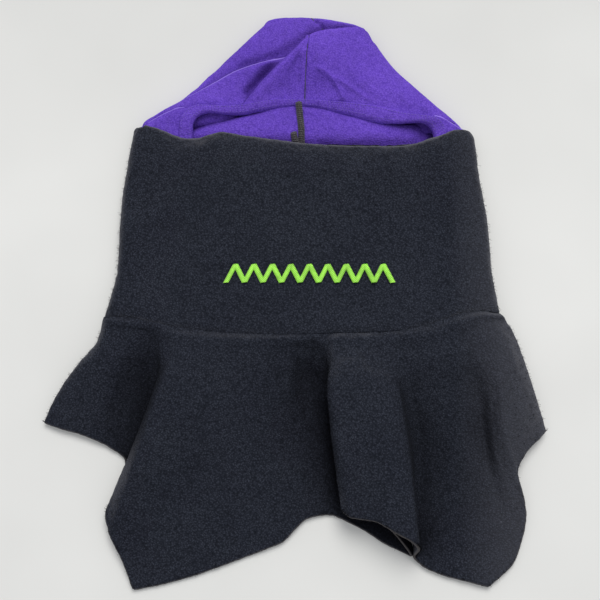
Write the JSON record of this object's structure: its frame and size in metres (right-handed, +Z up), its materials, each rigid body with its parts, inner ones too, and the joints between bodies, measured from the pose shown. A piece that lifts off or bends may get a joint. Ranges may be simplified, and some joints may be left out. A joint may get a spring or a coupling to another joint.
{
  "type": "balaclava",
  "caption": "Fleece balaclava lying flat: panelled hood with a face opening, a double collar that pulls up over the face, and a loose flared bib.",
  "frame": {"origin": "on the ground, under the middle of the flat garment's footprint", "axes": "+Z up through the flat garment from back to front, +Y towards the crown, +X towards the wearer's left"},
  "size_m": [0.3526, 0.4199, 0.0223],
  "materials": {
    "purple_fleece": "brushed fleece, fine pile",
    "black_fleece": "brushed fleece, pilled",
    "black_thread": "overlock thread",
    "purple_thread": "coverstitch thread",
    "lime_thread": "satin embroidery thread",
    "stabiliser": "non-woven sheet"
  },
  "bodies": {
    "collar": {"collar_shell": "black_fleece", "collar_lining": "black_fleece", "collar_back_seam": "black_thread", "neck_seam": "black_thread", "bib_seam": "black_thread", "embroidered_motif": "lime_thread", "embroidery_backing": "stabiliser"},
    "hood": {"hood_left_panel": "purple_fleece", "hood_right_panel": "purple_fleece", "hood_center_seam": "black_thread", "face_hem_left": "purple_fleece", "face_hem_right": "purple_fleece", "face_hem_stitch_inner": "purple_thread", "face_hem_stitch_outer": "purple_thread"},
    "bib": {"bib": "black_fleece"}
  },
  "joints": [
    {"name": "hood_fold", "type": "hinge", "parent": "collar", "child": "hood", "pos_m": [0, 0.108, 0.021], "axis": [1, 0, 0], "range_deg": [0, 175]},
    {"name": "bib_fold", "type": "hinge", "parent": "collar", "child": "bib", "pos_m": [0, -0.0342, 0.021], "axis": [-1, 0, 0], "range_deg": [0, 135]}
  ]
}
